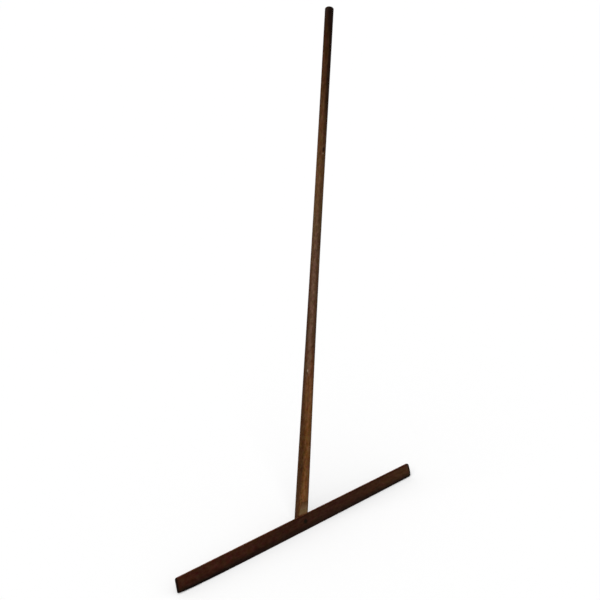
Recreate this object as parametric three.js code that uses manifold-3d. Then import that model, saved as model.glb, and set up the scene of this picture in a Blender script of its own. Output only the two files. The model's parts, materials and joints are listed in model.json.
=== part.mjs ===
// A wooden rake for smoothing a sand green: a long tapered handle, a thin head board and one wood screw.
// Millimetres, +Z up along the handle. The board lies along X and its open face looks towards -Y.

import * as THREE from "three";
import { mergeVertices } from "three/addons/utils/BufferGeometryUtils.js";
import Module from "manifold-3d";

const wasm = await Module();
wasm.setup();

// Handle: a shaved pole with a thick foot, slim from its middle up to the domed end.
const handleLength = 1525;
const footDiameter = 39.6;
const gripDiameter = 21.9;
// The pole also thickens evenly by this much from its grip end to its foot.
const handleTaper = 4.5;
const domeHeight = 7;
const footAboveEdge = 7;
// The greater this power, the sooner the swell of the foot dies away up the handle.
const swellPower = 4.2;

// Head board: flat on its back, its open face worn back below to a round working edge.
const boardLength = 970;
// Each end reaches this much further at the working edge than at the top edge.
const endSplay = 2.5;
const boardHeight = 45.5;
const boardThickness = 8;
const edgeRadius = 2;
const edgeSlope = THREE.MathUtils.degToRad(22);
const arrisRadius = 1.2;
const topCornerRadius = 6;
const edgeCornerRadius = 4;
const crownHeight = 3;
// Where along the board, from its left end, the working edge bows down furthest.
const crownShare = 0.27;

// Joint: the board lies on a slope cut in the handle's foot, under a small shoulder. Above the
// shoulder the foot's front is pared back in a long flat, up to a square stop. The flat is turned a
// little to the left.
const lean = THREE.MathUtils.degToRad(22);
const axisDepth = 22.9;
const seatGap = 0.3;
const shoulderDepth = 3.3;
const facetLength = 54;
const facetLean = THREE.MathUtils.degToRad(6.5);
const facetTurn = THREE.MathUtils.degToRad(-8);
// The flat starts this far below the shoulder, so that no sliver stays in their corner.
const facetRunIn = 1;

// Wood screw: slotted and countersunk, its head let in a little below the open face.
const screwHeight = 25.3;
const screwLength = 32;
const headDiameter = 12.7;
const headAngle = THREE.MathUtils.degToRad(82);
const headLand = 0.5;
const shankDiameter = 6.2;
const shankLength = 11;
const coreDiameter = 4.4;
const tipDiameter = 0.6;
const threadPitch = 2.5;
const pointLength = 5;
const sunkDepth = 0.6;
const slotWidth = 1.3;
const slotDepth = 1.3;
const slotTurn = THREE.MathUtils.degToRad(35);
const screwClearance = 0.3;

// One overrun serves every cut.
const overrun = 5;

// How finely round forms are cut into flats.
const handleSides = 48;
const handleSteps = 30;
const domeSteps = 6;
const arcSteps = 5;
const wornSteps = 6;
const cornerSteps = 5;
const boardSteps = 40;
const screwSides = 24;
const stepsPerTurn = 8;

// Radii and depths that follow from the sizes above.
const headRadius = headDiameter / 2;
const shankRadius = shankDiameter / 2;
const coneDepth = (headRadius - shankRadius) / Math.tan(headAngle / 2);

const oiledAsh = new THREE.MeshStandardMaterial({ color: 0x63402a, roughness: 0.6, metalness: 0 });
const darkHardwood = new THREE.MeshStandardMaterial({ color: 0x3a2016, roughness: 0.65, metalness: 0 });
const brownedIron = new THREE.MeshStandardMaterial({ color: 0x2a2018, roughness: 0.6, metalness: 0.8 });

// The board's frame inside the part: x along it, y into the wood, z up its open face.
const boardFrame = new THREE.Matrix4()
  .makeRotationX(-lean)
  .multiply(new THREE.Matrix4().makeTranslation(0, -axisDepth, -screwHeight));

// A closed geometry as a solid that can be joined and cut.
function solidOf(geometry) {
  const bare = geometry.clone();
  bare.deleteAttribute("normal");
  bare.deleteAttribute("uv");
  const merged = mergeVertices(bare);
  const vertProperties = new Float32Array(merged.attributes.position.array);
  const triVerts = new Uint32Array(merged.index.array);
  return new wasm.Manifold(new wasm.Mesh({ numProp: 3, vertProperties, triVerts }));
}

// A named, flat-shaded mesh of a solid.
function piece(name, solid, material) {
  const { vertProperties, triVerts } = solid.getMesh();
  const merged = new THREE.BufferGeometry();
  merged.setAttribute("position", new THREE.BufferAttribute(vertProperties, 3));
  merged.setIndex(new THREE.BufferAttribute(triVerts, 1));
  const geometry = merged.toNonIndexed();
  geometry.computeVertexNormals();
  const mesh = new THREE.Mesh(geometry, material);
  mesh.name = name;
  return mesh;
}

// A round solid turned from [radius, place] pairs, its axis along +Z.
function turned(pairs, sides) {
  const profile = pairs.map(([radius, place]) => new THREE.Vector2(radius, place));
  return new THREE.LatheGeometry(profile, sides).rotateX(Math.PI / 2);
}

// A block given by its low and high corners.
function block(low, high) {
  const size = new THREE.Vector3().subVectors(high, low);
  const middle = new THREE.Vector3().addVectors(high, low).divideScalar(2);
  return new THREE.BoxGeometry(...size).translate(...middle);
}

// Rings of as many points each, skinned and capped into one closed geometry.
function skinned(rings) {
  const count = rings[0].length;
  const last = (rings.length - 1) * count;
  const points = rings.flat();
  const faces = [];
  for (const ring of [rings[0], rings.at(-1)]) {
    const sum = ring.reduce((total, point) => total.add(point), new THREE.Vector3());
    points.push(sum.divideScalar(count));
  }
  for (let j = 0; j < count; j++) {
    const k = (j + 1) % count;
    for (let first = 0; first < last; first += count) {
      faces.push(first + j, first + k, first + count + k);
      faces.push(first + j, first + count + k, first + count + j);
    }
    faces.push(k, j, last + count);
    faces.push(last + j, last + k, last + count + 1);
  }
  return new THREE.BufferGeometry().setFromPoints(points).setIndex(faces);
}

// Points on an arc about [y, z], from one angle to another.
function arc(y, z, radius, from, to) {
  return Array.from({ length: arcSteps + 1 }, (_, i) => {
    const angle = from + ((to - from) * i) / arcSteps;
    return [y + radius * Math.cos(angle), z + radius * Math.sin(angle)];
  });
}

// The worn lower part of the open face, down to where the round working edge takes over.
function wornFace(low, radius) {
  const depth = boardThickness - radius * (1 + Math.cos(edgeSlope));
  const height = (2 * depth) / Math.tan(edgeSlope);
  const foot = low + radius * (1 - Math.sin(edgeSlope));
  return Array.from({ length: wornSteps }, (_, i) => {
    const share = i / wornSteps;
    return [depth * share ** 2, foot + height * (1 - share)];
  });
}

// The board's section between a low and a high edge, as [y, z] pairs.
function boardSection(low, high) {
  const round = Math.min(edgeRadius, boardThickness / 2);
  const arris = Math.min(arrisRadius, boardThickness / 2);
  const quarter = Math.PI / 2;
  return [
    ...arc(boardThickness - round, low + round, round, 2 * quarter + edgeSlope, 4 * quarter),
    ...arc(boardThickness - arris, high - arris, arris, 0, quarter),
    ...arc(arris, high - arris, arris, quarter, 2 * quarter),
    ...wornFace(low, round),
  ];
}

// How far the working edge bows down at a place along the board.
function crownAt(x) {
  const end = boardLength / 2;
  const lowest = boardLength * crownShare - end;
  const reach = x < lowest ? lowest + end : end - lowest;
  return crownHeight * (1 - ((x - lowest) / reach) ** 2);
}

// Places along the board: close together round its corners, evenly spread between them.
function boardPlaces() {
  const widest = Math.max(topCornerRadius, edgeCornerRadius);
  const straight = boardLength / 2 - widest;
  const corner = Array.from(
    { length: cornerSteps },
    (_, i) => straight + widest * Math.cos(((Math.PI / 2) * i) / cornerSteps),
  );
  const middle = Array.from({ length: boardSteps + 1 }, (_, i) => straight * ((2 * i) / boardSteps - 1));
  return [...corner.map((x) => -x), ...middle, ...corner.toReversed()];
}

// How far corners of this radius draw the board's outline in at a place along it.
function cornerDraw(x, radius) {
  const past = Math.max(0, Math.abs(x) - (boardLength / 2 - radius));
  return radius - Math.sqrt(Math.max(0, radius ** 2 - past ** 2));
}

// Where a place along the working edge lies at a height up the board, between its splayed ends.
function splayed(x, z) {
  return x * (1 - ((2 * endSplay) / boardLength) * (z / boardHeight));
}

function boardSolid() {
  const rings = boardPlaces().map((x) => {
    const low = cornerDraw(x, edgeCornerRadius) - crownAt(x);
    const high = boardHeight - cornerDraw(x, topCornerRadius);
    return boardSection(low, high).map(([y, z]) => new THREE.Vector3(splayed(x, z), y, z));
  });
  return solidOf(skinned(rings)).subtract(solidOf(screwHole()));
}

// The screw's hole in the board's frame, from above the open face to just past the screw's point.
function screwHole() {
  const mouth = headRadius + screwClearance;
  const throat = shankRadius + screwClearance;
  const bottom = sunkDepth + screwLength + screwClearance;
  const pairs = [
    [0, -overrun],
    [mouth, -overrun],
    [mouth, sunkDepth + headLand],
    [throat, sunkDepth + headLand + coneDepth],
    [throat, bottom],
    [0, bottom],
  ];
  return turned(pairs, screwSides).rotateX(-Math.PI / 2).translate(0, 0, screwHeight);
}

// A ring of the screw, this far from its slotted face, with a radius for each share of a turn.
function screwRing(place, radiusAt) {
  return Array.from({ length: screwSides }, (_, i) => {
    const turn = i / screwSides;
    const angle = 2 * Math.PI * turn;
    const radius = radiusAt(turn);
    return new THREE.Vector3(radius * Math.sin(angle), place, radius * Math.cos(angle));
  });
}

// The threaded part: a right-hand ridge that winds down the core and dies away at the point.
function threadRings() {
  const span = screwLength - shankLength;
  const steps = Math.round((span / threadPitch) * stepsPerTurn);
  const tipRadius = tipDiameter / 2;
  return Array.from({ length: steps }, (_, i) => {
    const along = (span * (i + 1)) / steps;
    const full = Math.min(1, (span - along) / pointLength);
    const core = tipRadius + (coreDiameter / 2 - tipRadius) * full;
    const ridge = (shankRadius - coreDiameter / 2) * full;
    return screwRing(shankLength + along, (turn) => {
      const phase = (along / threadPitch - turn + 1) % 1;
      return core + ridge * (1 - Math.abs(2 * phase - 1)) ** 2;
    });
  });
}

// The screw: y runs from its slotted face towards its point.
function screwSolid() {
  const rings = [
    screwRing(0, () => headRadius),
    screwRing(headLand, () => headRadius),
    screwRing(headLand + coneDepth, () => shankRadius),
    screwRing(shankLength, () => shankRadius),
    ...threadRings(),
  ];
  const slot = block(
    new THREE.Vector3(-headDiameter, -overrun, -slotWidth / 2),
    new THREE.Vector3(headDiameter, slotDepth, slotWidth / 2),
  ).rotateY(slotTurn);
  return solidOf(skinned(rings)).subtract(solidOf(slot));
}

// The handle's radius at a height above its foot.
function handleRadius(height) {
  const share = height / handleLength;
  const tapered = gripDiameter + handleTaper * (1 - share);
  const swell = (1 - share) ** swellPower * (1 + swellPower * share);
  return (tapered + (footDiameter - gripDiameter - handleTaper) * swell) / 2;
}

// The pole before its foot is cut, its foot at zero.
function pole() {
  const straight = handleLength - domeHeight;
  const shoulder = handleRadius(straight);
  const pairs = [[0, 0]];
  for (let i = 0; i <= handleSteps; i++) {
    const height = (straight * i) / handleSteps;
    pairs.push([handleRadius(height), height]);
  }
  for (let i = 1; i < domeSteps; i++) {
    const angle = ((Math.PI / 2) * i) / domeSteps;
    pairs.push([shoulder * Math.cos(angle), straight + domeHeight * Math.sin(angle)]);
  }
  pairs.push([0, handleLength]);
  return turned(pairs, handleSides);
}

// The notch that seats the handle on the board's back, with a shoulder over its top edge, in the
// board's frame.
function notch() {
  return block(
    new THREE.Vector3(-footDiameter, -footDiameter, -footDiameter),
    new THREE.Vector3(footDiameter, boardThickness + seatGap, boardHeight + seatGap),
  );
}

// The long flat that is pared in the handle's front, from the shoulder up to its stop.
function facet() {
  const start = new THREE.Vector3(0, boardThickness - shoulderDepth, boardHeight);
  return block(
    new THREE.Vector3(-footDiameter, -footDiameter, -facetRunIn),
    new THREE.Vector3(footDiameter, 0, facetLength),
  )
    .rotateX(facetLean)
    .rotateZ(facetTurn)
    .translate(...start.applyMatrix4(boardFrame));
}

// The handle stands on the part's own axis, its foot a little above the working edge.
function handleSolid() {
  const workingEdge = new THREE.Vector3(0, boardThickness, -crownHeight).applyMatrix4(boardFrame);
  const footPlace = workingEdge.z + footAboveEdge;
  return solidOf(pole().translate(0, 0, footPlace))
    .subtract(solidOf(notch().applyMatrix4(boardFrame)))
    .subtract(solidOf(facet()))
    .subtract(solidOf(screwHole().applyMatrix4(boardFrame)));
}

const handle = piece("handle", handleSolid(), oiledAsh);
const board = piece("head_board", boardSolid(), darkHardwood);
const screw = piece("fixing_screw", screwSolid(), brownedIron);
screw.position.set(0, sunkDepth, screwHeight);

const head = new THREE.Group();
head.applyMatrix4(boardFrame);
head.add(board, screw);

const rake = new THREE.Group();
rake.add(handle, head);

// The origin lies under the middle of the rake, level with its working edge.
rake.updateMatrixWorld(true);
const bounds = new THREE.Box3().setFromObject(rake, true);
const middle = bounds.getCenter(new THREE.Vector3());
rake.position.set(-middle.x, -middle.y, -bounds.min.z);

export default rake;
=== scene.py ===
# %% [markdown]
# # A rake for sand greens
#
# A sand green is a putting green of oiled sand, and this rake smooths the path of the ball. The real one
# has three pieces: a long tapered handle, a thin head board let into its foot, and one wood screw. The
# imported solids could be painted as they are, but they are plain and true, so each gives way to a finer
# piece that shows hand work and wear. They stay the fixed frame, and every place is read from them.

# %% Load the frame and keep its box
import json
import math
import random

import bmesh
import bpy
from mathutils import Matrix, Quaternion, Vector, noise


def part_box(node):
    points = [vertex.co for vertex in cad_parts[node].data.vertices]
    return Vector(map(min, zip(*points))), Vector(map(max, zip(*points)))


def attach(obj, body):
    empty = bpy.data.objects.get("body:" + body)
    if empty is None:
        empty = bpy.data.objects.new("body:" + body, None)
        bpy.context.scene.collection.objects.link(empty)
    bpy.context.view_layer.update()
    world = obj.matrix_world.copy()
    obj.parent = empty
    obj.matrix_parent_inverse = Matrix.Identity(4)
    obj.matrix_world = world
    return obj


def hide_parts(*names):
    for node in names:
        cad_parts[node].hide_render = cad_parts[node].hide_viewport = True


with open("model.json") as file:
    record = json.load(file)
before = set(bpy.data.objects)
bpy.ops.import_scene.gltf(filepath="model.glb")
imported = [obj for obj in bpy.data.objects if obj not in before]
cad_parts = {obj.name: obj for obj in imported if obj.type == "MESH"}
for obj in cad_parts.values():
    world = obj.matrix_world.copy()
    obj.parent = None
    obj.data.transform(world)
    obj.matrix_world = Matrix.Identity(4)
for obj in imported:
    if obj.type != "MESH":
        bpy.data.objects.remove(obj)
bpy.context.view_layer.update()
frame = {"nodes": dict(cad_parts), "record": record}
scene = bpy.context.scene
MM = 0.001

# %% [markdown]
# ## Places read from the frame
#
# The board leans, so it needs axes of its own: x along it, y into the wood and z up its open face. The
# record's flat mounts say which way its face and its top edge look, and the solids say how far they
# reach. The sizes could be typed in again, but those read from the frame can't drift away from it.

# %% The board's own axes and sizes
mounts = {mount["name"]: mount for mount in frame["record"]["mounts"]}
face_out = Vector(mounts["head_open_face"]["axis"]).normalized()
face_up = Vector(mounts["head_top_edge"]["axis"]).normalized()
sideways = Vector((1, 0, 0))


def reach(node, direction):
    """The least and the most that a node of the frame reaches along a direction."""
    along = [vertex.co.dot(direction) for vertex in frame["nodes"][node].data.vertices]
    return min(along), max(along)


back, front = reach("head_board", face_out)
edge, top = reach("head_board", face_up)
crown_height = 3 * MM  # the working edge bows down by this much
board_length = reach("head_board", sideways)[1] * 2
board_thickness = front - back
board_height = top - edge - crown_height
board_base = top - board_height
board_place = Matrix((sideways, -face_out, face_up)).transposed().to_4x4()
board_place.translation = face_out * front + face_up * board_base
print("board in mm:", [round(size / MM, 2) for size in (board_length, board_height, board_thickness)])

# %% The handle's axis and the screw's place on the board
pole_low, pole_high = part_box("handle")
foot_radius = pole_high.x
pole_foot = Vector((0, pole_high.y - foot_radius, pole_low.z))
pole_length = pole_high.z - pole_low.z
screw_low, screw_high = reach("fixing_screw", face_up)
screw_back, screw_front = reach("fixing_screw", face_out)
head_radius = (screw_high - screw_low) / 2
screw_height = (screw_high + screw_low) / 2 - board_base
screw_length = screw_front - screw_back
sunk_depth = front - screw_front
print("pole in mm:", round(pole_length / MM, 1), "screw in mm:", round(screw_length / MM, 1))

# %% [markdown]
# ## A few small helpers
#
# One function adds every node below, of shapes and of finishes. It takes the node's links and values by
# the name or number of the socket, and its own settings as keywords. Sums and ranges come up so often
# that they have short forms. A colour is written as its sRGB hex value, the way a paint chart gives it,
# and turned to the linear values that sockets take.

# %% A node with its settings and links, and a colour
VECTOR_MATH = "ShaderNodeVectorMath"
NOISE = "ShaderNodeTexNoise"
MIX = "ShaderNodeMix"


def linear(code):
    """An sRGB hex value as a linear colour."""
    shares = [int(code[i : i + 2], 16) / 255 for i in (1, 3, 5)]
    bent = [share / 12.92 if share <= 0.04045 else ((share + 0.055) / 1.055) ** 2.4 for share in shares]
    return (*bent, 1)


def add(tree, kind, sockets=None, stops=None, bends=None, **settings):
    """Adds a node. A node as one of its values means that node's first output in use."""
    node = tree.nodes.new(kind)
    for name, value in settings.items():
        setattr(node, name, value)
    for key, value in (sockets or {}).items():
        found = [s for s in node.inputs if s.enabled and s.name == key]
        socket = found[0] if found else node.inputs[key]
        if isinstance(value, bpy.types.Node):
            value = next(s for s in value.outputs if s.enabled)
        if isinstance(value, bpy.types.NodeSocket):
            tree.links.new(value, socket)
        else:
            socket.default_value = value
    if stops:
        ramp = node.color_ramp.elements
        while len(ramp) < len(stops):
            ramp.new(1)
        for element, (place, code) in zip(ramp, stops.items()):
            element.position = place
            element.color = linear(code)
    if bends:
        line = node.mapping.curves[0].points
        while len(line) < len(bends):
            line.new(1, 1)
        for point, spot in zip(line, bends.items()):
            point.location = spot
        node.mapping.update()
    return node


print("a mid grey, #808080, is", round(linear("#808080")[0], 3), "as a linear value")

# %% Short forms for sums and ranges
def maths(tree, operation, *values, clamp=False):
    """A Math node on these links and values, in the order of its sockets."""
    return add(tree, "ShaderNodeMath", dict(enumerate(values)), operation=operation, use_clamp=clamp)


def vector_maths(tree, operation, *values):
    """The same with a Vector Math node."""
    return add(tree, VECTOR_MATH, dict(enumerate(values)), operation=operation)


def ranged(tree, value, old, new, way="LINEAR"):
    """A value carried from an old range to a new one, and kept inside it."""
    ends = {"From Min": old[0], "From Max": old[1], "To Min": new[0], "To Max": new[1]}
    return add(tree, "ShaderNodeMapRange", {"Value": value, **ends}, interpolation_type=way)


# %% [markdown]
# ## Oiled ash
#
# The handle is ash, shaved round by hand and rubbed with oil. Each year of ash leaves a band of open
# pores, which a pole shows as fine dark streaks. Hands and oily sand have turned it brown: warm below
# and nearly black at the grip. The middle is greyer and has a paler stripe, both partly worn by hands
# and partly a painted sheen. One side is darker low down and another high up, partly stain and partly
# painted shade from one side, and single knots, nicks and scratches show here and there.
#
# A picture of wood would show a seam and stretch over the dome. Here a ramp along the pole gives the
# colour by height, rings about a pith line beside the pole give the grain, and noise stretched along it
# gives the fibres. All of it reads Object coordinates, so it runs through the wood as real grain does.

# %% Start and end a material
def clean_tree(owner):
    """The emptied shader tree of a material or a world."""
    owner.use_nodes = True
    owner.node_tree.nodes.clear()
    return owner.node_tree


def new_material(name):
    """A material, its empty tree and its Object coordinates."""
    material = bpy.data.materials.new(name)
    tree = clean_tree(material)
    return material, tree, add(tree, "ShaderNodeTexCoord").outputs["Object"]


def show(material, relief, strength, depth, sockets):
    """Ends a material with a bump of this depth and a Principled shader with these links and values."""
    tree = material.node_tree
    bump = add(tree, "ShaderNodeBump", {"Height": relief, "Strength": strength, "Distance": depth})
    shader = add(tree, "ShaderNodeBsdfPrincipled", {"Normal": bump, **sockets})
    add(tree, "ShaderNodeOutputMaterial", {"Surface": shader})
    print(material.name, "takes", len(tree.nodes), "nodes")
    return material


# %% Patches of noise, and a colour that varies with them
def patches(tree, place, size, detail=3):
    """Soft patches from 0 to 1, each about this many millimetres large along the three axes."""
    scale = [1 / (side * MM) for side in size]
    spread = add(tree, "ShaderNodeMapping", {"Vector": place, "Scale": scale})
    return add(tree, NOISE, {"Vector": spread, "Scale": 1, "Detail": detail, "Roughness": 0.6})


def varied(tree, colour, layers, redness, greyness):
    """A colour made lighter and darker by layers of noise, and redder and greyer by two of them."""
    tone = 1 - sum(weight for layer, weight in layers) / 2
    for layer, weight in layers:
        tone = maths(tree, "MULTIPLY_ADD", layer, weight, tone)
    hue = ranged(tree, redness, (0, 1), (0.55, 0.45))
    richness = ranged(tree, greyness, (0, 1), (1.2, 0.8))
    shifts = {"Hue": hue, "Saturation": richness, "Value": tone, "Color": colour}
    return add(tree, "ShaderNodeHueSaturation", shifts)


# %% A soft stain, and the parts of a place
def stained(tree, colour, where, start, full, most, code):
    """The colour turned to another by this much at the most, where a value passes from start to full."""
    strength = ranged(tree, where, (start, full), (0, most), "SMOOTHSTEP")
    return add(tree, MIX, {"Factor": strength, "A": colour, "B": linear(code)}, data_type="RGBA")


def flattened(tree, place):
    """The parts of a place, and the same place brought down to no height."""
    parts = add(tree, "ShaderNodeSeparateXYZ", {"Vector": place}).outputs
    return parts, add(tree, "ShaderNodeCombineXYZ", {"X": parts["X"], "Y": parts["Y"]})


# %% Growth rings, and the grain that pole and pared foot share
wave_unit = 2 * math.pi / 20  # at a Scale of 1 a Wave texture's bands are this far apart
ring_spacing = 2.4 * MM
pith = Vector((46 * MM, -38 * MM, 0))
fibre_size = (1.1, 1.1, 45)  # real pores are 0.3 mm wide, so these are drawn coarser, to show at all

# All the wood here is nearly matt, because its oil has sunk in.
sunken_oil = {"Specular IOR Level": 0.02, "Diffuse Roughness": 0.6}


def growth_rings(tree, place, shift, scale, axis, spacing, distortion, ripple):
    """Rings about a pith line along an axis. The scale draws them out along it into long streaks."""
    about_pith = add(tree, "ShaderNodeMapping", {"Vector": place, "Location": shift, "Scale": scale})
    sizes = {"Vector": about_pith, "Scale": wave_unit / spacing, "Distortion": distortion}
    sizes |= {"Detail": 3, "Detail Scale": ripple}
    style = {"wave_type": "RINGS", "rings_direction": axis, "wave_profile": "SAW"}
    return add(tree, "ShaderNodeTexWave", sizes, **style).outputs["Fac"]


def ash_grain(tree, place):
    """Growth rings and fibres of the ash pole, each from 0 to 1."""
    rings = growth_rings(tree, place, -pole_foot - pith, (1, 1, 0.035), "Z", ring_spacing, 9, 0.25)
    return rings, patches(tree, place, fibre_size, 4)


print("growth rings in mm:", ring_spacing / MM, "fibres in mm:", fibre_size)


# %% Brown by height, and a stripe of wear and painted sheen
def ash_browns(tree, share, outward, blotches):
    """Warm brown at the foot, grey brown in the middle and dark at the grip, with a paler stripe of wear
    and painted sheen.
    """
    wander = ranged(tree, blotches, (0, 1), (-0.03, 0.03))
    ramp_place = maths(tree, "ADD", share, wander)
    lower = {0.00: "#623D20", 0.07: "#6A4425", 0.20: "#64401F", 0.27: "#6A4525", 0.34: "#643E22"}
    # The middle stops are greyer, partly as a painted sheen.
    middle = {0.40: "#583B26", 0.54: "#60402B", 0.63: "#5D452C", 0.74: "#5B3D24"}
    grip = {0.92: "#492B16", 0.97: "#382010", 1.00: "#2E2018"}
    brown = add(tree, "ShaderNodeValToRGB", {"Fac": ramp_place}, stops=lower | middle | grip)

    # The paler stripe in the middle of the pole is partly wear from hands and partly a painted sheen. It
    # turns a little as it climbs.
    turn = ranged(tree, share, (0.32, 0.5), (math.radians(209), math.radians(222)))
    east = maths(tree, "COSINE", turn)
    north = maths(tree, "SINE", turn)
    sheen_stripe_way = add(tree, "ShaderNodeCombineXYZ", {"X": east, "Y": north})
    facing = vector_maths(tree, "DOT_PRODUCT", outward, sheen_stripe_way)
    ragged_sheen_stripe = maths(tree, "MULTIPLY_ADD", blotches, 0.4, facing)
    wear_sheen_heights = {0.33: 0, 0.43: 1, 0.53: 1, 0.64: 0.2, 0.72: 0}
    wear_and_sheen = add(tree, "ShaderNodeFloatCurve", {"Value": ramp_place}, bends=wear_sheen_heights)
    return stained(tree, brown, ragged_sheen_stripe, 1.02, 1.2, wear_and_sheen, "#644938")


# %% The handle's two dark sides
def dark_side(tree, share, outward, ragged, way, edges, depths):
    """How dark one side of the pole is. Curves by height say how far it reaches and how deep it is."""
    middle = (math.cos(math.radians(way)), math.sin(math.radians(way)), 0)
    facing = vector_maths(tree, "DOT_PRODUCT", outward, middle)
    limit = add(tree, "ShaderNodeFloatCurve", {"Value": share}, bends=edges)
    past = maths(tree, "SUBTRACT", facing, limit)
    past = maths(tree, "ADD", past, ragged)
    depth = add(tree, "ShaderNodeFloatCurve", {"Value": share}, bends=depths)
    return ranged(tree, past, (-0.35, 0.35), (0, depth), "SMOOTHSTEP")


def ash_stains_and_shade(tree, colour, share, outward, fibres, blotches):
    """One dark side climbs from the foot to the middle. The other begins there and grows to the grip."""
    # Both dark sides are partly stain and partly painted shade, darkening the flanks the way a light from
    # one side would. Near the grip both flanks are darkened as painted shade of the pole's roundness.
    ragged = maths(tree, "ADD", fibres, blotches)
    ragged = maths(tree, "MULTIPLY_ADD", ragged, 0.5, -0.5)
    low_edges = {0: 0.6, 0.07: 0.5, 0.12: 0.32, 0.17: 0.22, 0.2: 0.33, 0.23: 0.42}
    low_edges |= {0.28: 0.58, 0.34: 0.7, 0.5: 0.75, 1: 0.6}
    low_depths = {0: 0.64, 0.13: 0.63, 0.2: 0.58, 0.33: 0.66, 0.5: 0.55}
    low_depths |= {0.68: 0.12, 0.74: 0, 0.82: 0.15, 1: 0.2}
    low_side = dark_side(tree, share, outward, ragged, 150, low_edges, low_depths)
    high_edges = {0: 1, 0.33: 0.85, 0.42: 0.6, 0.56: 0.5, 0.63: 0.35}
    high_edges |= {0.76: 0.5, 0.86: 0.45, 0.93: 0.3, 1: 0.05}
    high_depths = {0: 0.5, 0.35: 0.45, 0.52: 0.42, 0.62: 0.36, 0.7: 0.32}
    high_depths |= {0.8: 0.55, 0.86: 0.78, 0.93: 0.86, 1: 0.86}
    high_side = dark_side(tree, share, outward, ragged, 300, high_edges, high_depths)
    darkest = maths(tree, "MAXIMUM", low_side, high_side)
    return add(tree, MIX, {"Factor": darkest, "A": colour, "B": linear("#150A06")}, data_type="RGBA")


# %% Single marks on the handle
# Each has its height in mm, the way it looks in degrees, half its width as a share of the radius, half
# its height in mm, its colour and how strong it is.
pole_marks = (
    (1165, 256, 0.35, 7, "#0F0B07", 0.7),
    (1154, 249, 0.2, 3, "#8C7460", 0.6),
    (525, 209, 0.12, 5, "#9A8878", 0.5),
    (203, 207, 0.12, 20, "#1A1009", 0.45),
    (155, 212, 0.1, 3, "#1A1009", 0.5),
    (101, 221, 0.09, 3, "#2A1A0C", 0.5),
    (1425, 240, 0.2, 55, "#4C3019", 0.35),
    (1385, 213, 0.16, 100, "#1A1009", 0.3),
    (735, 229, 0.2, 45, "#7D5F48", 0.3),
    (445, 258, 0.18, 45, "#7D5536", 0.35),
    (430, 229, 0.18, 80, "#1A1009", 0.3),
)


def marked(tree, colour, skin_place, mark):
    """The colour with one soft oval mark: a filled knot, a nick down to pale wood, or a dirty scratch."""
    height, way, half_width, half_height, code, depth = mark
    turn = math.radians(way)
    sizes = (1 / half_width, 1 / half_width, 1 / (half_height * MM))
    centre = (math.cos(turn), math.sin(turn), height * MM)
    shift = [-place * size for place, size in zip(centre, sizes)]
    around = add(tree, "ShaderNodeMapping", {"Vector": skin_place, "Location": shift, "Scale": sizes})
    distance = vector_maths(tree, "LENGTH", around)
    return stained(tree, colour, distance, 1.2, 0.5, depth, code)


print("single marks on the handle:", len(pole_marks))


# %% The handle's finish
def oiled_ash():
    """Ash with old oil sunk into it. It looks deep brown and streaked, and almost matt."""
    material, tree, place = new_material("oiled ash")
    rings, fibres = ash_grain(tree, place)
    blotches = patches(tree, place, (14, 14, 70))
    figure = patches(tree, place, (6, 6, 18))
    tints = patches(tree, place, (6, 6, 14), 4)
    specks = patches(tree, place, (4, 4, 7), 1)
    from_foot = add(tree, "ShaderNodeMapping", {"Vector": place, "Location": -pole_foot})
    parts, flat = flattened(tree, from_foot)
    share = maths(tree, "DIVIDE", parts["Z"], pole_length)
    outward = vector_maths(tree, "NORMALIZE", flat)
    brown = ash_browns(tree, share, outward, blotches)
    toned = ash_stains_and_shade(tree, brown, share, outward, fibres, blotches)

    # Small dark flecks are knocks and pores that have filled with dirt.
    dirt = patches(tree, place, (2.2, 2.2, 5), 1)
    flecked = stained(tree, toned, dirt, 0.66, 0.76, 0.6, "#140D08")
    skin_place = add(tree, "ShaderNodeCombineXYZ", {"Z": parts["Z"]})
    skin_place = vector_maths(tree, "ADD", outward, skin_place)
    for mark in pole_marks:
        flecked = marked(tree, flecked, skin_place, mark)
    layers = [(rings, -0.25), (fibres, 1.1), (blotches, 0.8), (figure, 1.2), (specks, 1.1)]
    colour = varied(tree, flecked, layers, tints, figure)
    relief = maths(tree, "SUBTRACT", fibres, rings)
    gloss = ranged(tree, blotches, (0, 1), (0.45, 0.75))
    sockets = {"Base Color": colour, "Roughness": gloss, **sunken_oil}
    return show(material, relief, 0.5, 0.15 * MM, sockets)


ash = oiled_ash()

# %% [markdown]
# ## Pared ash
#
# Above the board the front of the handle is pared back with a chisel. The cut went through the brown
# skin, so it is the palest wood on the rake, creamy low down and browner up towards its saw cut, with
# painted shade just under the stop and at its foot by the board. A mask in the pole's finish could paint
# it, but a finish of its own is simpler: the cutter that makes the flat carries it. It shares the pole's
# grain, so the fibres run on.

# %% Where the facet starts and stops
shoulder_depth = 3.3 * MM
facet_length = 54 * MM
facet_lean = math.radians(6.5)
facet_turn = math.radians(-8)
facet_run_in = 1 * MM
facet_start = board_place @ Vector((0, board_thickness - shoulder_depth, board_height))
facet_stop = facet_start.z + facet_length * math.cos(facet_lean)
print("the facet climbs in mm from", round(facet_start.z / MM, 1), "to", round(facet_stop / MM, 1))


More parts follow.
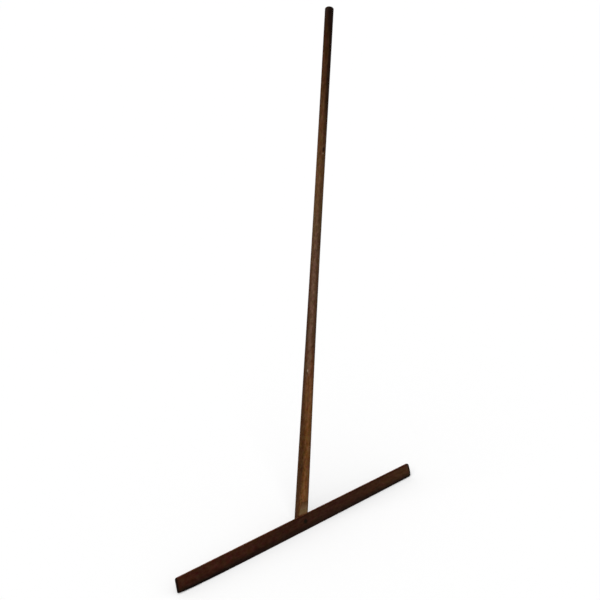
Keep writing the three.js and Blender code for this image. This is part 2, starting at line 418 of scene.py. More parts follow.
# %% The pared facet's finish
def pared_ash():
    """Bare wood, cut clean. It looks creamy and dull, browner towards its stop, with painted shade under
    the stop and at its foot, and grimy at its rim.
    """
    material, tree, place = new_material("pared ash")
    rings, fibres = ash_grain(tree, place)
    blotches = patches(tree, place, (6, 6, 9))
    parts = add(tree, "ShaderNodeSeparateXYZ", {"Vector": place})
    wander = 16 * MM
    uneven = maths(tree, "MULTIPLY_ADD", blotches, wander, parts.outputs["Z"])
    climb = ranged(tree, uneven, (facet_start.z + wander / 2, facet_stop + wander / 2), (0, 1))
    # The first stop is partly stain from the board and partly painted shade at the facet's foot, and the
    # darkest last stop is painted shade under the overhanging stop.
    creams = {0: "#5A3820", 0.08: "#6E4E30", 0.16: "#6F573A", 0.35: "#6B5434", 0.5: "#6E533A"}
    browns = {0.75: "#5E4126", 0.93: "#5C3D22", 1: "#3E2614"}
    cream = add(tree, "ShaderNodeValToRGB", {"Fac": climb}, stops=creams | browns)

    # The rim has been handled with the brown skin beside it, so it is stained alike.
    centred = add(tree, "ShaderNodeMapping", {"Vector": place, "Location": -pole_foot})
    radius = vector_maths(tree, "LENGTH", flattened(tree, centred)[1])
    rim = maths(tree, "MULTIPLY_ADD", blotches, 5 * MM, radius)
    dirty = stained(tree, cream, rim, foot_radius * 0.97, foot_radius * 1.13, 0.7, "#4A2E18")
    colour = varied(tree, dirty, [(rings, -0.2), (fibres, 0.6), (blotches, 0.8)], fibres, blotches)
    sockets = {"Base Color": colour, "Roughness": 0.8, **sunken_oil, "Diffuse Roughness": 0.8}
    return show(material, fibres, 0.4, 0.15 * MM, sockets)


bare_ash = pared_ash()

# %% [markdown]
# ## Dark oiled hardwood
#
# The head is a close-grained hardwood board, stained dark red brown and fed with oil from the green. Its
# working edge is darkened almost black, most of all near both ends: partly oil taken up by the wood and
# partly painted shade where it faces the floor. The ends are nearly black too, partly end grain that
# drinks more oil and partly painted shade on their rounded arrises. Rust has darkened a ring round the
# screw, and the top edge is paler, partly worn and partly a painted highlight.
#
# These parts could be painted on the mesh by hand. Here each is a soft change of colour that depends on a
# distance, from the edge, an end or the screw, so it keeps to its place on the board. A Mapping node
# turns the pattern into the board's own axes, so the grain runs along the board.

# %% How far the darkening reaches in from the board's ends, by oil and painted shade
soak_shade_reach = 7 * MM
soak_shade_more = 4 * MM  # so much further at the right end than at the left
end_splay = 2.5 * MM  # each end leans in by this much from its working edge to its top
print("the ends are soaked in mm:", [round((soak_shade_reach + soak_shade_more * s) / MM, 1) for s in (-0.5, 0.5)])


# %% The board's stain, paler along its top with wear and a painted highlight
def hardwood_browns(tree, x, z, mottle):
    """Red brown along the board, warmer at its top arris, and paler along its top edge from wear and a
    painted highlight.
    """
    along = ranged(tree, x, (-board_length / 2, board_length / 2), (0, 1))
    left = {0.0: "#391C11", 0.2: "#371B10", 0.42: "#2F180E", 0.55: "#331C11"}
    right = {0.65: "#321B12", 0.85: "#382012", 1.0: "#402818"}
    brown = add(tree, "ShaderNodeValToRGB", {"Fac": along}, stops=left | right)
    arris = ranged(tree, z, (board_height - 6 * MM, board_height - 2 * MM), (0, 1), "SMOOTHSTEP")
    arris_stops = {0.1: "#351A0B", 0.45: "#2D1608", 0.55: "#240E06", 0.7: "#250E06", 0.9: "#2D1307"}
    arris_brown = add(tree, "ShaderNodeValToRGB", {"Fac": along}, stops=arris_stops)
    warmed = add(tree, MIX, {"Factor": arris, "A": brown, "B": arris_brown}, data_type="RGBA")
    # The very top edge is made paler: partly stain worn through, partly a painted highlight where the top
    # catches light from above.
    top_line = maths(tree, "MULTIPLY_ADD", mottle, 3 * MM, z)
    rub_highlight_start, rub_highlight_full = board_height + 0.4 * MM, board_height + 1.6 * MM
    return stained(tree, warmed, top_line, rub_highlight_start, rub_highlight_full, 0.8, "#5A2E1C")


# %% Where oil, rust and painted shade have blackened it
def hardwood_soaks_and_shade(tree, colour, x, z, mottle):
    """The colour darkened along the working edge and at the ends by oil and painted shade, and rusted
    round the screw.
    """
    # Towards the working edge the face darkens: partly oil taken up by the wood, partly painted shade
    # where the face turns down to the floor.
    wet_shade_line = maths(tree, "MULTIPLY_ADD", mottle, 12 * MM, z)
    wet_shade_depth = ranged(tree, x, (-board_length / 2, 0), (0.88, 0.68))
    soaked_and_shaded = stained(tree, colour, wet_shade_line, 30 * MM, 9 * MM, wet_shade_depth, "#120D08")

    # The last few millimetres of the working edge are darker still, most towards both ends: partly oil
    # and partly painted shade where the edge meets the floor.
    to_end = maths(tree, "ABSOLUTE", x)
    edge_soak_shade = ranged(tree, to_end, (140 * MM, 380 * MM), (0, 0.8))
    soaked_and_shaded = stained(tree, soaked_and_shaded, z, 9 * MM, 2 * MM, edge_soak_shade, "#080403")

    # End grain drinks oil, and the rounded ends are given painted shade as well, so the ends are nearly
    # black.
    end_line = maths(tree, "MULTIPLY_ADD", z, -end_splay / board_height, board_length / 2)
    from_end = maths(tree, "SUBTRACT", end_line, to_end)
    soak_shade_there = maths(tree, "MULTIPLY_ADD", x, soak_shade_more / board_length, soak_shade_reach)
    end_share = maths(tree, "DIVIDE", from_end, soak_shade_there)
    ended = stained(tree, soaked_and_shaded, end_share, 1, 0.45, 0.8, "#0D0805")

    above_screw = maths(tree, "SUBTRACT", z, screw_height)
    to_screw = add(tree, "ShaderNodeCombineXYZ", {"X": x, "Z": above_screw})
    to_screw = vector_maths(tree, "LENGTH", to_screw)
    return stained(tree, ended, to_screw, 9.5 * MM, 6.5 * MM, 0.35, "#0D0805")


# %% The board's finish
board_ring_spacing = 3 * MM
board_pith = (0, 60 * MM, 90 * MM)
board_fibre_size = (30, 0.9, 0.9)  # these too are coarser than real ones, which wouldn't show


def dark_oiled_hardwood():
    """A dark stain in close grain. It looks deep red brown and mottled, with a dull sheen of old oil."""
    material, tree, place = new_material("dark oiled hardwood")
    inward = board_place.inverted()
    turned = {"Vector": place, "Location": inward.to_translation(), "Rotation": inward.to_euler()}
    local = add(tree, "ShaderNodeMapping", turned)
    parts = add(tree, "ShaderNodeSeparateXYZ", {"Vector": local})
    x, z = parts.outputs["X"], parts.outputs["Z"]
    mottle = patches(tree, local, (42, 16, 16), 5)
    figure = patches(tree, local, (17, 8, 8))
    tints = patches(tree, local, (24, 9, 9))
    fibres = patches(tree, local, board_fibre_size)
    specks = patches(tree, local, (6, 2.5, 2.5), 1)
    rings = growth_rings(tree, local, board_pith, (0.03, 1, 1), "X", board_ring_spacing, 7, 0.3)
    brown = hardwood_browns(tree, x, z, mottle)
    soaked_and_shaded = hardwood_soaks_and_shade(tree, brown, x, z, mottle)
    layers = [(rings, -0.18), (fibres, 1.0), (mottle, 0.9), (figure, 1.1), (specks, 0.8)]
    colour = varied(tree, soaked_and_shaded, layers, tints, figure)
    gloss = ranged(tree, mottle, (0, 1), (0.5, 0.8))
    sockets = {"Base Color": colour, "Roughness": gloss, **sunken_oil}
    return show(material, fibres, 0.4, 0.12 * MM, sockets)


hardwood = dark_oiled_hardwood()

# %% [markdown]
# ## Browned iron
#
# The screw is plain iron wire, forged and cut, and it has rusted and worn to a dark brown skin. One flat
# brown would look like plastic, so noise as coarse as real rust moves its colour, roughness and metallic
# value. Rust is not a metal, so the metallic value drops where the rust is thick.

# %% The screw's finish
rust_size = 2.2 * MM
pit_size = 0.5 * MM


def browned_iron():
    """Iron under a thin brown rust. It looks dark, pitted and dry, with duller patches."""
    material, tree, place = new_material("browned iron")
    rust = add(tree, NOISE, {"Vector": place, "Scale": 1 / rust_size, "Detail": 5, "Roughness": 0.65})
    pits = add(tree, NOISE, {"Vector": place, "Scale": 1 / pit_size, "Detail": 2})
    browns = {0.35: "#120D06", 0.55: "#1A140A", 0.75: "#24170B"}
    skin_colour = add(tree, "ShaderNodeValToRGB", {"Fac": rust}, stops=browns)
    metal = ranged(tree, rust, (0.4, 0.65), (0.1, 0))
    gloss = ranged(tree, rust, (0.3, 0.7), (0.7, 0.95))
    sockets = {"Base Color": skin_colour, "Metallic": metal, "Roughness": gloss}
    return show(material, pits, 0.5, 0.1 * MM, {**sockets, "Specular IOR Level": 0.04})


iron = browned_iron()

# %% [markdown]
# ## Trees that make shapes
#
# A Geometry Nodes tree is a rule with named inputs. The pole follows one: its radius depends on the
# height only, wide at the foot, slim above, with a low dome at the end. The screw follows another, with
# a thread that repeats. Both could be modelled point by point, but a rule keeps each size in one place.
# Both move the points of the Cylinder node, whose rows and rings are already where the rule needs them,
# and the evaluated result is kept as a plain mesh.

# %% Start a tree, and settle a piece
SOCKETS = {
    float: "NodeSocketFloat",
    int: "NodeSocketInt",
    Vector: "NodeSocketVector",
    bpy.types.Material: "NodeSocketMaterial",
}


def new_tree(name, values):
    """A Geometry Nodes tree with an input for each of these values, and its input and output nodes."""
    tree = bpy.data.node_groups.new(name, "GeometryNodeTree")
    for label, value in values.items():
        tree.interface.new_socket(label, in_out="INPUT", socket_type=SOCKETS[type(value)])
    tree.interface.new_socket("Geometry", in_out="OUTPUT", socket_type="NodeSocketGeometry")
    return tree, add(tree, "NodeGroupInput").outputs, add(tree, "NodeGroupOutput")


def new_piece(name, mesh=None):
    """A mesh object in the scene, at the origin."""
    piece = bpy.data.objects.new(name, mesh or bpy.data.meshes.new(name))
    scene.collection.objects.link(piece)
    return piece


def settle(piece):
    """Keeps what a piece's modifiers make of it as its plain mesh, and removes them."""
    made = piece.evaluated_get(bpy.context.evaluated_depsgraph_get())
    mesh = bpy.data.meshes.new_from_object(made)
    piece.modifiers.clear()
    piece.data = mesh
    return piece


def grown(name, tree, values):
    """A piece made by a tree, with each input set by its socket's identifier."""
    piece = new_piece(name)
    modifier = piece.modifiers.new("shape", "NODES")
    sockets = {s.name: s.identifier for s in tree.interface.items_tree if s.in_out == "INPUT"}
    modifier.node_group = tree
    for label, value in values.items():
        modifier[sockets[label]] = value
    return settle(piece)


# %% How both trees begin and end
def unit_rod(tree, given, caps):
    """The Cylinder node, its points' parts and flat places, and their share of the height."""
    counts = {"Vertices": given["Sides"], "Side Segments": given["Rows"], "Fill Segments": caps}
    sizes = {**counts, "Radius": 1.0, "Depth": 1.0}
    rod = add(tree, "GeometryNodeMeshCylinder", sizes, fill_type="TRIANGLE_FAN")
    parts, flat = flattened(tree, add(tree, "GeometryNodeInputPosition"))
    share = maths(tree, "ADD", parts["Z"], 0.5)
    return rod.outputs["Mesh"], parts, flat, share


def end_tree(tree, given, result, rod, places):
    """Moves the rod's points to their places, gives it the tree's material and ends the tree."""
    shaped = add(tree, "GeometryNodeSetPosition", {"Geometry": rod, "Position": places})
    real = add(tree, "GeometryNodeRealizeInstances", {"Geometry": shaped})
    painted = add(tree, "GeometryNodeSetMaterial", {"Geometry": real, "Material": given["Material"]})
    tree.links.new(painted.outputs[0], result.inputs[0])
    print(tree.name, "takes", len(tree.nodes), "nodes")


# %% [markdown]
# ## The pole
#
# The handle was shaved from a square blank, so it isn't quite true: a slow noise moves its skin by a few
# tenths of a millimetre, and its middle sways a little to one side. It could be spun from a drawn
# profile, but that would have to be bent and dented after. The rings that close the cylinder's top are
# lifted into a dome, by the cosine and sine of the same angle.

# %% The pole's sizes and tree
sway_peak = 0.42  # the share of the length where it sways most
bump_length = 250 * MM
pole_values = {
    "Foot": pole_foot,
    "Length": pole_length,
    "Foot Diameter": foot_radius * 2,
    "Grip Diameter": 21.9 * MM,
    "Taper": 4.5 * MM,
    "Swell Power": 4.2,
    "Dome Height": 7 * MM,
    "Unevenness": 0.2 * MM,
    "Sway": 0.35 * MM,
    "Sides": 72,
    "Rows": 420,
    "Dome Rings": 9,
    "Material": ash,
}
tree, given, result = new_tree("tapered pole", pole_values)
rod, _, flat, share = unit_rod(tree, given, given["Dome Rings"])
ring = vector_maths(tree, "LENGTH", flat)
outward = vector_maths(tree, "NORMALIZE", flat)
tilt = maths(tree, "MULTIPLY", ring, math.pi / 2)
spread = maths(tree, "SINE", tilt)
lift = maths(tree, "COSINE", tilt)
straight = maths(tree, "SUBTRACT", given["Length"], given["Dome Height"])
crest = maths(tree, "MULTIPLY_ADD", lift, given["Dome Height"], straight)
height = maths(tree, "MULTIPLY", share, crest)

# The diameter tapers in a straight line, and swells besides towards the foot.
shoulder = maths(tree, "MULTIPLY", share, straight)
run = maths(tree, "DIVIDE", shoulder, given["Length"])
rest = maths(tree, "SUBTRACT", 1.0, run)
fade = maths(tree, "POWER", rest, given["Swell Power"])
ease = maths(tree, "MULTIPLY_ADD", given["Swell Power"], run, 1.0)
swell = maths(tree, "MULTIPLY", fade, ease)
narrow_end = maths(tree, "MULTIPLY_ADD", given["Taper"], rest, given["Grip Diameter"])
thick_end = maths(tree, "SUBTRACT", given["Foot Diameter"], given["Grip Diameter"])
extra = maths(tree, "SUBTRACT", thick_end, given["Taper"])
diameter = maths(tree, "MULTIPLY_ADD", extra, swell, narrow_end)
radius = maths(tree, "MULTIPLY", diameter, 0.5)

# The noise is stretched along the pole, so a bump is some 25 mm across and ten times as long.
spin = add(tree, VECTOR_MATH, {0: outward, "Scale": 0.8}, operation="SCALE")
climb = maths(tree, "MULTIPLY", height, 1 / bump_length)
climb_vector = add(tree, "ShaderNodeCombineXYZ", {"Z": climb})
noise_place = vector_maths(tree, "ADD", spin, climb_vector)
bumps = add(tree, NOISE, {"Vector": noise_place, "Scale": 1.0, "Detail": 3.0})
wave = ranged(tree, bumps, (0, 1), (-1, 1))
uneven = maths(tree, "MULTIPLY_ADD", wave, given["Unevenness"], radius)
wide = maths(tree, "MULTIPLY", uneven, spread)
level = add(tree, VECTOR_MATH, {0: outward, "Scale": wide}, operation="SCALE")

# The pole's own line sways to one side in its middle and back at its ends.
phase = maths(tree, "MULTIPLY_ADD", run, 2 * math.pi, -sway_peak * 2 * math.pi)
swing = maths(tree, "COSINE", phase)
sway = maths(tree, "MULTIPLY", swing, given["Sway"])
back_sway = maths(tree, "MULTIPLY", sway, -1.0)
line = add(tree, "ShaderNodeCombineXYZ", {"X": back_sway, "Y": sway, "Z": height})
moved = vector_maths(tree, "ADD", level, line)
placed = vector_maths(tree, "ADD", moved, given["Foot"])
end_tree(tree, given, result, rod, placed)
pole = grown("shaved_pole", tree, pole_values)
print("pole:", len(pole.data.vertices), "points")

# %% [markdown]
# ## Cutting the foot
#
# The joiner made three cuts in the foot: a notch that seats it on the board's back under a small
# shoulder, a long pared flat above it, up to a sawn stop, and a hole for the screw. The foot could be
# modelled face by face, but Boolean modifiers follow the joiner's own steps, with a closed cutter for
# each cut. The paring cutter carries the pale finish, so the cut face gets it.

# %% Cutters from boxes and turned profiles
def solid(name, points, faces, place, material):
    """A closed piece from points and faces, its normals outwards, moved by a matrix."""
    mesh = bpy.data.meshes.new(name)
    mesh.from_pydata(points, [], faces)
    mesh.transform(place)
    shape = bmesh.new()
    shape.from_mesh(mesh)
    bmesh.ops.remove_doubles(shape, verts=shape.verts, dist=0.001 * MM)
    bmesh.ops.recalc_face_normals(shape, faces=shape.faces)
    shape.to_mesh(mesh)
    shape.free()
    mesh.materials.append(material)
    return new_piece(name, mesh)


def skin(rings):
    """Points and faces of a tube through rings of as many points each, with flat ends."""
    count = len(rings[0])
    points = [point for ring in rings for point in ring]
    faces = []
    for start in range(0, len(points) - count, count):
        for j in range(count):
            k = (j + 1) % count
            faces.append((start + j, start + k, start + count + k, start + count + j))
    ends = [list(range(count)), list(range(len(points) - count, len(points)))]
    return points, faces + ends


def box_rings(low, high):
    """The two square rings of a box."""
    corners = [(low[0], low[1]), (high[0], low[1]), (high[0], high[1]), (low[0], high[1])]
    return [[(x, y, z) for x, y in corners] for z in (low[2], high[2])]


def turned_rings(profile, sides):
    """Rings about the z axis from pairs of a radius and a height."""
    turns = [2 * math.pi * i / sides for i in range(sides)]
    return [[(r * math.cos(a), r * math.sin(a), z) for a in turns] for r, z in profile]


def cut(piece, *cutters):
    """Takes the cutters out of a piece, one after another, and deletes them."""
    for cutter in cutters:
        modifier = piece.modifiers.new("cut", "BOOLEAN")
        modifier.object = cutter
        modifier.solver = "EXACT"
        modifier.material_mode = "TRANSFER"
        settle(piece)
        bpy.data.objects.remove(cutter)
    print(piece.name, "after its cuts:", len(piece.data.vertices), "points")


# %% The notch and the pared facet
seat_gap = 0.15 * MM
foot_width = foot_radius * 2
notch_low = (-foot_width, -foot_width, -foot_width)
notch_high = (foot_width, board_thickness + seat_gap, board_height + seat_gap)
notch = solid("notch", *skin(box_rings(notch_low, notch_high)), board_place, ash)

stroke_length = 7 * MM
stroke_depth = 0.25 * MM
stroke_bend = 0.3  # the strokes snake by this share of their length
kerf_width = 1 * MM
kerf_depth = 0.7 * MM
facet_rows = 96
facet_strips = 48


def pared_to(climb, across):
    """How deep the tools went at a place on the facet: chisel strokes, and a saw kerf at the stop."""
    stroke = max(0, climb) / stroke_length + stroke_bend * math.sin(across / stroke_length)
    hollow = stroke_depth * (1 - (2 * (stroke % 1) - 1) ** 2)
    return kerf_depth if climb > facet_length - kerf_width else hollow


def facet_rings():
    """Rings of the paring cutter, from side to side of the pole."""
    rings = []
    run = facet_length + facet_run_in
    climbs = [run * j / facet_rows - facet_run_in for j in range(facet_rows + 1)]
    for i in range(facet_strips + 1):
        across = foot_width * (2 * i / facet_strips - 1)
        inner = [(across, pared_to(climb, across), climb) for climb in climbs]
        rings.append([(across, -foot_width, -facet_run_in), *inner, (across, -foot_width, facet_length)])
    return rings


facet_place = Matrix.Rotation(facet_turn, 4, "Z") @ Matrix.Rotation(facet_lean, 4, "X")
facet_place.translation = facet_start
facet = solid("facet", *skin(facet_rings()), facet_place, bare_ash)
print("the facet is cut by", round(facet_length / stroke_length, 1), "strokes")

# %% The screw's hole, with a mouth worn round
hole_clearance = 0.3 * MM
head_land = 0.5 * MM  # the straight rim of the head, above its cone
head_slope = math.tan(math.radians(82) / 2)
shank_radius = 3.1 * MM
cone_depth = (head_radius - shank_radius) / head_slope
lip = 0.5 * MM
lip_steps = 5
hole_sides = 64
overrun = 5 * MM  # cutters start this far outside the wood


def hole_rings():
    """Rings of the hole: from outside, by its worn lip and countersink, to past the screw."""
    mouth = head_radius + hole_clearance
    throat = shank_radius + hole_clearance
    lip_turns = [math.pi / 2 * i / lip_steps for i in range(lip_steps + 1)]
    worn = [(mouth + lip * (1 - math.sin(a)), lip * (1 - math.cos(a))) for a in lip_turns]
    land = sunk_depth + head_land
    end = sunk_depth + screw_length + hole_clearance
    profile = [(mouth + lip, -overrun), *worn, (mouth, land), (throat, land + cone_depth), (throat, end)]
    return turned_rings(profile, hole_sides)


drill_turn = Matrix.Rotation(-math.pi / 2, 4, "X")
drill_place = board_place @ Matrix.Translation((0, 0, screw_height)) @ drill_turn
cut(pole, notch, facet, solid("pole_hole", *skin(hole_rings()), drill_place, ash))

# %% [markdown]
# ## The head board
#
# The board has a flat back, small round arrises on top, and an open face worn back in a smooth curve to
# a round working edge. The edge bows down a little, its left end is worn away by almost 3 mm, and sand
# and knocks have dented the arrises. A bevelled box could stand for it, but the worn curve changes along
# the board, so its section is drawn anew at each place and swept, and then the dents are pressed in.

# %% The board's section
edge_radius = 2 * MM
edge_slope = math.radians(22)
arris_radius = 1.2 * MM
arc_steps = 8
top_steps = 4
flat_steps = 14
face_step = 1.6 * MM


def arc(y, z, radius, start, end):
    """Points on an arc about a centre, as pairs of depth and height."""
    turns = [start + (end - start) * i / arc_steps for i in range(arc_steps + 1)]
    return [(y + radius * math.cos(a), z + radius * math.sin(a)) for a in turns]


def between(first, last, steps):
    """Points strictly between two others."""
    shares = [i / steps for i in range(1, steps)]
    return [(first[0] + (last[0] - first[0]) * s, first[1] + (last[1] - first[1]) * s) for s in shares]


def worn_face(low):
    """The worn lower part of the open face, from its top down to the round edge."""
    depth = board_thickness - edge_radius * (1 + math.cos(edge_slope))
    height = 2 * depth / math.tan(edge_slope)
    foot = low + edge_radius * (1 - math.sin(edge_slope))
    steps = round(height / face_step)
    return [(depth * (i / steps) ** 2, foot + height * (1 - i / steps)) for i in range(steps)]


def board_section(low, high):
    """The whole outline of the board's section, once round."""
    quarter = math.pi / 2
    inner = board_thickness - arris_radius
    edge_middle = (board_thickness - edge_radius, low + edge_radius)
    round_edge = arc(*edge_middle, edge_radius, 2 * quarter + edge_slope, 4 * quarter)
    back_arris = arc(inner, high - arris_radius, arris_radius, 0, quarter)
    front_arris = arc(arris_radius, high - arris_radius, arris_radius, quarter, 2 * quarter)
    worn = worn_face(low)
    return [
        *round_edge,
        *between(round_edge[-1], back_arris[0], round(board_height / face_step)),
        *back_arris,
        *between(back_arris[-1], front_arris[0], top_steps),
        *front_arris,
        *between(front_arris[-1], worn[0], flat_steps),
        *worn,
    ]


print("the board's section has", len(board_section(0, board_height)), "points")

# %% Sweep the board along its length
end_arris = 1 * MM
top_corner = 6 * MM
edge_corner = 4 * MM
crown_share = 0.27  # the working edge hangs lowest at this share of the length
board_step = 2.5 * MM
end_wear = 2.9 * MM
end_wear_reach = 25 * MM


def crown_at(x):
    """How far the working edge bows down at a place along the board."""
    end = board_length / 2
    lowest = board_length * crown_share - end
    reach_there = lowest + end if x < lowest else end - lowest
    return crown_height * (1 - ((x - lowest) / reach_there) ** 2)


def edge_at(x):
    """The height of the working edge at a place along the board. Near the left end it is worn away."""
    from_left = x + board_length / 2
    return end_wear * math.exp(-from_left / end_wear_reach) - crown_at(x)


def board_places():
    """Places along the board: close together at its rounded ends, evenly spread between them."""
    widest = max(top_corner, edge_corner)
    straight = board_length / 2 - widest
    turns = [math.pi / 2 * i / arc_steps for i in range(arc_steps)]
    corner = [straight + widest * math.cos(a) for a in turns]
    steps = round(2 * straight / board_step)
    middle = [straight * (2 * i / steps - 1) for i in range(steps + 1)]
    return [-x for x in corner] + middle + corner[::-1]


def drawn_in(x, radius):
    """How far an outline with rounded ends is drawn in at a place along the board."""
    past = max(0, abs(x) - (board_length / 2 - radius))
    return radius - math.sqrt(max(0, radius**2 - past**2))


def splayed(x, z):
    """Where a place along the working edge lies at a height up the board, between its splayed ends."""
    return x * (1 - 2 * end_splay / board_length * z / board_height)


def board_rings():
    """The board's sections from end to end, drawn in at the corners and thinned at the end arrises."""
    rings = []
    middle = board_thickness / 2
    for x in board_places():
        low = drawn_in(x, edge_corner) + edge_at(x)
        thin = 1 - drawn_in(x, end_arris) / middle
        section = board_section(low, board_height - drawn_in(x, top_corner))
        rings.append([(splayed(x, z), middle + (y - middle) * thin, z) for y, z in section])
    return rings


print("the board is swept through", len(board_places()), "sections")

# %% Draw the dents
dent_count = 46
dent_press = 0.55 * MM
draw = random.Random(11)
dents = []
for _ in range(dent_count):
    dent_place = draw.uniform(-0.5, 0.5) * board_length
    dent_width = draw.uniform(2, 6) * MM
    dents.append((dent_place, dent_width, draw.random()))
print("the widest dent in mm:", round(max(width for place, width, depth in dents) / MM, 1))

# %% Wear the board
wear_depth = 0.25 * MM
wear_start = 6 * MM  # the face is hollowed fully only this far above the working edge
wave_length = 60 * MM
wave_height = 12 * MM
dent_reach = 3 * MM


def worn_point(x, y, z):
    """A point of the board after wear: a hollowed open face, and dents in the top and working edges."""
    wave = 0.5 + 0.5 * noise.noise(Vector((x / wave_length, y / wave_height, z / wave_height)))
    above_edge = min(1, max(0, (z - edge_at(x)) / wear_start))
    point = Vector((x, y + wear_depth * wave * above_edge * (1 - y / board_thickness), z))
    top_near = max(0, 1 - (board_height - z) / dent_reach)
    edge_near = max(0, 1 - (z - edge_at(x)) / dent_reach)
    for place, width, depth in dents:
        share = (x - place) / width
        if abs(share) < 2:
            push = dent_press * depth**2 * math.exp(-(share**2) * 2)
            point.z += push * (edge_near - top_near / 2)
            point.y += push * top_near * (1 - y / board_thickness)
    return point


rings = [[worn_point(*point) for point in ring] for ring in board_rings()]
board = solid("smoothing_board", *skin(rings), board_place, hardwood)
cut(board, solid("board_hole", *skin(hole_rings()), drill_place, hardwood))

# %% [markdown]
# ## The screw
#
# It is a slotted countersunk wood screw: a flat head on a cone, a plain shank, and a thread that winds
# down to the point. A ridge could be swept along a helix and joined on, but a rule makes it all in one
# skin: the radius at a point depends on how far along the screw it is and on the share of a turn round
# it, and the ridge climbs one pitch each turn.

# %% The screw's sizes and tree
screw_values = {
    "Length": screw_length,
    "Head Radius": head_radius,
    "Head Land": head_land,
    "Head Slope": head_slope,
    "Shank Radius": shank_radius,
    "Shank Length": 11 * MM,
    "Core Radius": 2.2 * MM,
    "Tip Radius": 0.3 * MM,
    "Pitch": 2.5 * MM,
    "Point Length": 5 * MM,
    "Sides": 48,
    "Rows": 192,
    "Material": iron,
}
tree, given, result = new_tree("wood screw", screw_values)
rod, parts, flat, share = unit_rod(tree, given, 6)
along = maths(tree, "MULTIPLY", share, given["Length"])
angle = maths(tree, "ARCTAN2", parts["Y"], parts["X"])

# The plain part is the head's radius, less the cone, and never under the shank's.
past_land = maths(tree, "SUBTRACT", along, given["Head Land"])
narrowing = maths(tree, "MULTIPLY", past_land, given["Head Slope"])
cone = maths(tree, "SUBTRACT", given["Head Radius"], narrowing)
no_less = maths(tree, "MAXIMUM", cone, given["Shank Radius"])
plain = maths(tree, "MINIMUM", no_less, given["Head Radius"])

# The threaded part is a core that narrows to the point, and a sharp ridge on it.
left_over = maths(tree, "SUBTRACT", given["Length"], along)
full = maths(tree, "DIVIDE", left_over, given["Point Length"], clamp=True)
core_swell = maths(tree, "SUBTRACT", given["Core Radius"], given["Tip Radius"])
core = maths(tree, "MULTIPLY_ADD", core_swell, full, given["Tip Radius"])
pitches = maths(tree, "DIVIDE", along, given["Pitch"])
turns = maths(tree, "DIVIDE", angle, 2 * math.pi)
climb = maths(tree, "SUBTRACT", pitches, turns)
flank = maths(tree, "PINGPONG", climb, 0.5)
crest = maths(tree, "MULTIPLY", flank, 2.0)
sharp = maths(tree, "POWER", crest, 2.0)
ridge_height = maths(tree, "SUBTRACT", given["Shank Radius"], given["Core Radius"])
ridge_full = maths(tree, "MULTIPLY", ridge_height, full)
threaded = maths(tree, "MULTIPLY_ADD", sharp, ridge_full, core)

past_shank = maths(tree, "GREATER_THAN", along, given["Shank Length"])
radius = add(tree, MIX, {"Factor": past_shank, "A": plain, "B": threaded})
wide = add(tree, VECTOR_MATH, {0: flat, "Scale": radius}, operation="SCALE")
rise = add(tree, "ShaderNodeCombineXYZ", {"Z": along})
moved = vector_maths(tree, "ADD", wide, rise)
end_tree(tree, given, result, rod, moved)
screw = grown("slotted_screw", tree, screw_values)
print("screw:", len(screw.data.vertices), "points")

# %% Cut the screw's slot and drive it in
slot_width = 1.3 * MM
slot_depth = 1.3 * MM
slot_turn = math.radians(35)
slot_low = (-head_radius * 2, -slot_width / 2, -overrun)
slot_high = (head_radius * 2, slot_width / 2, slot_depth)
cut(screw, solid("slot", *skin(box_rings(slot_low, slot_high)), Matrix.Rotation(slot_turn, 4, "Z"), iron))
screw.data.transform(drill_place @ Matrix.Translation((0, 0, sunk_depth)))

# %% [markdown]
# ## Smooth skins, sharp cuts
#
# Round forms are shaded smooth, and a cut edge has to stay crisp. Every edge could be marked by hand,
# but the angle between two faces tells them apart: an edge stays sharp where it is over thirty degrees.

# %% Shade the three pieces
sharp_angle = math.radians(30)
for piece in (pole, board, screw):
    piece.data.shade_smooth()
    piece.data.set_sharp_from_angle(angle=sharp_angle)
    print(piece.name, "has", len(piece.data.polygons), "faces")

# %% [markdown]
# ## Hand the pieces to the frame
#
# Each piece rides on the rake's one body and takes the place of one solid.

# %% Ride and replace
for piece, node, finish in (
    (pole, "handle", "oiled_ash"),
    (board, "head_board", "dark_oiled_hardwood"),
    (screw, "fixing_screw", "browned_iron"),
):
    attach(piece, "root")
    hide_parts(node)
    print(piece.name, "stands for", node)

# %% [markdown]
# ## A pale floor and soft light
#
# The rake stands on a wide pale floor under a broad soft sun, with a plain sky that fills the shadows.
# More lamps could do the same, but these two light a colour about as it is written. The floor glows a
# little for the camera and for mirror-like surfaces, which lifts it to white and keeps the shadow.

# %% The floor
def seen_rays(tree):
    """One for rays that show the background itself: to the camera, in a mirror or through glass."""
    rays = add(tree, "ShaderNodeLightPath").outputs
    seen = maths(tree, "MAXIMUM", rays["Is Camera Ray"], rays["Is Glossy Ray"])
    return maths(tree, "MAXIMUM", seen, rays["Is Transmission Ray"])


paper_glow = 0.16
paper = bpy.data.materials.new("matt white paper")
tree = clean_tree(paper)
strength = maths(tree, "MULTIPLY", seen_rays(tree), paper_glow)
glow = add(tree, "ShaderNodeEmission", {"Color": (1, 1, 1, 1), "Strength": strength})
matt = add(tree, "ShaderNodeBsdfDiffuse", {"Color": linear("#F0F0F0")})
both = add(tree, "ShaderNodeAddShader", {0: matt, 1: glow})
add(tree, "ShaderNodeOutputMaterial", {"Surface": both})

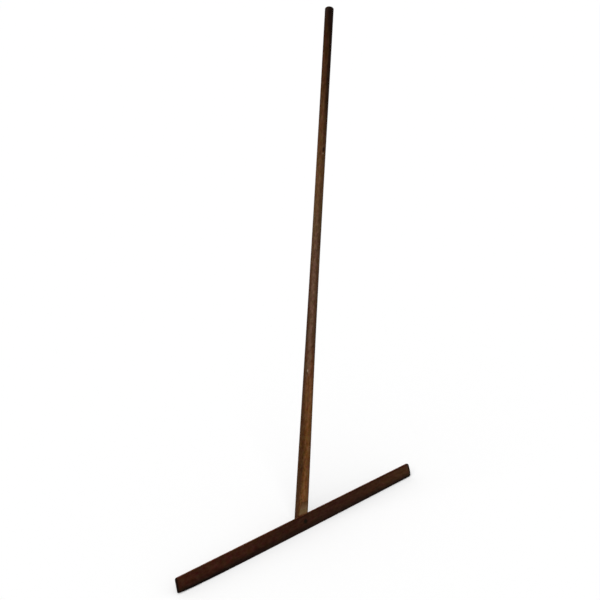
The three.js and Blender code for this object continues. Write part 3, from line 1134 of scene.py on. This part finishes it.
floor_half = 40
floor_corners = [Vector((x, y, 0)) * floor_half for x, y in ((-1, -1), (1, -1), (1, 1), (-1, 1))]
floor_mesh = bpy.data.meshes.new("floor")
floor_mesh.from_pydata(floor_corners, [], [(0, 1, 2, 3)])
floor_mesh.materials.append(paper)
floor = new_piece("floor", floor_mesh)
print("the floor is", floor_half * 2, "m wide")

# %% The sky and the sun
sky_strength = 0.5
world = bpy.data.worlds.new("plain sky")
scene.world = world
tree = clean_tree(world)
level = ranged(tree, seen_rays(tree), (0, 1), (sky_strength, 1))
sky = add(tree, "ShaderNodeBackground", {"Color": (1, 1, 1, 1), "Strength": level})
add(tree, "ShaderNodeOutputWorld", {"Surface": sky})

sun = bpy.data.lights.new("soft sun", "SUN")
sun.energy = 1.9
sun.angle = math.radians(50)
sun_piece = bpy.data.objects.new("soft_sun", sun)
scene.collection.objects.link(sun_piece)
sun_from = Vector((-0.9, -0.4, 1.2))
sun_piece.rotation_mode = "QUATERNION"
sun_piece.rotation_quaternion = (-sun_from).to_track_quat("-Z", "Y")
print("sky at", sky_strength, "and sun at", round(sun.energy, 2))

# %% [markdown]
# ## The camera
#
# The camera stands where the photograph was taken from, to the rake's left and above it, with the lens
# of a short telephoto and a slight roll. It could be pointed by eye, but three angles say it exactly.

# %% Place the camera
camera_place = Vector((-1.8478, -1.82105, 1.7513))
camera_azimuth = math.radians(-44.56)
camera_elevation = math.radians(21.266)
camera_roll = math.radians(2.888)
camera = bpy.data.cameras.new("camera")
camera.lens = 60
camera.sensor_width = 36
camera_piece = bpy.data.objects.new("camera", camera)
scene.collection.objects.link(camera_piece)
level_way = Vector((-math.sin(camera_azimuth), math.cos(camera_azimuth), 0))
looking = level_way * math.cos(camera_elevation) - Vector((0, 0, math.sin(camera_elevation)))
camera_piece.location = camera_place
camera_piece.rotation_mode = "QUATERNION"
camera_piece.rotation_quaternion = looking.to_track_quat("-Z", "Y") @ Quaternion((0, 0, 1), camera_roll)
scene.camera = camera_piece
scene.view_settings.view_transform = "Standard"
print("the camera is", round(camera_place.length, 2), "m from the rake's foot")
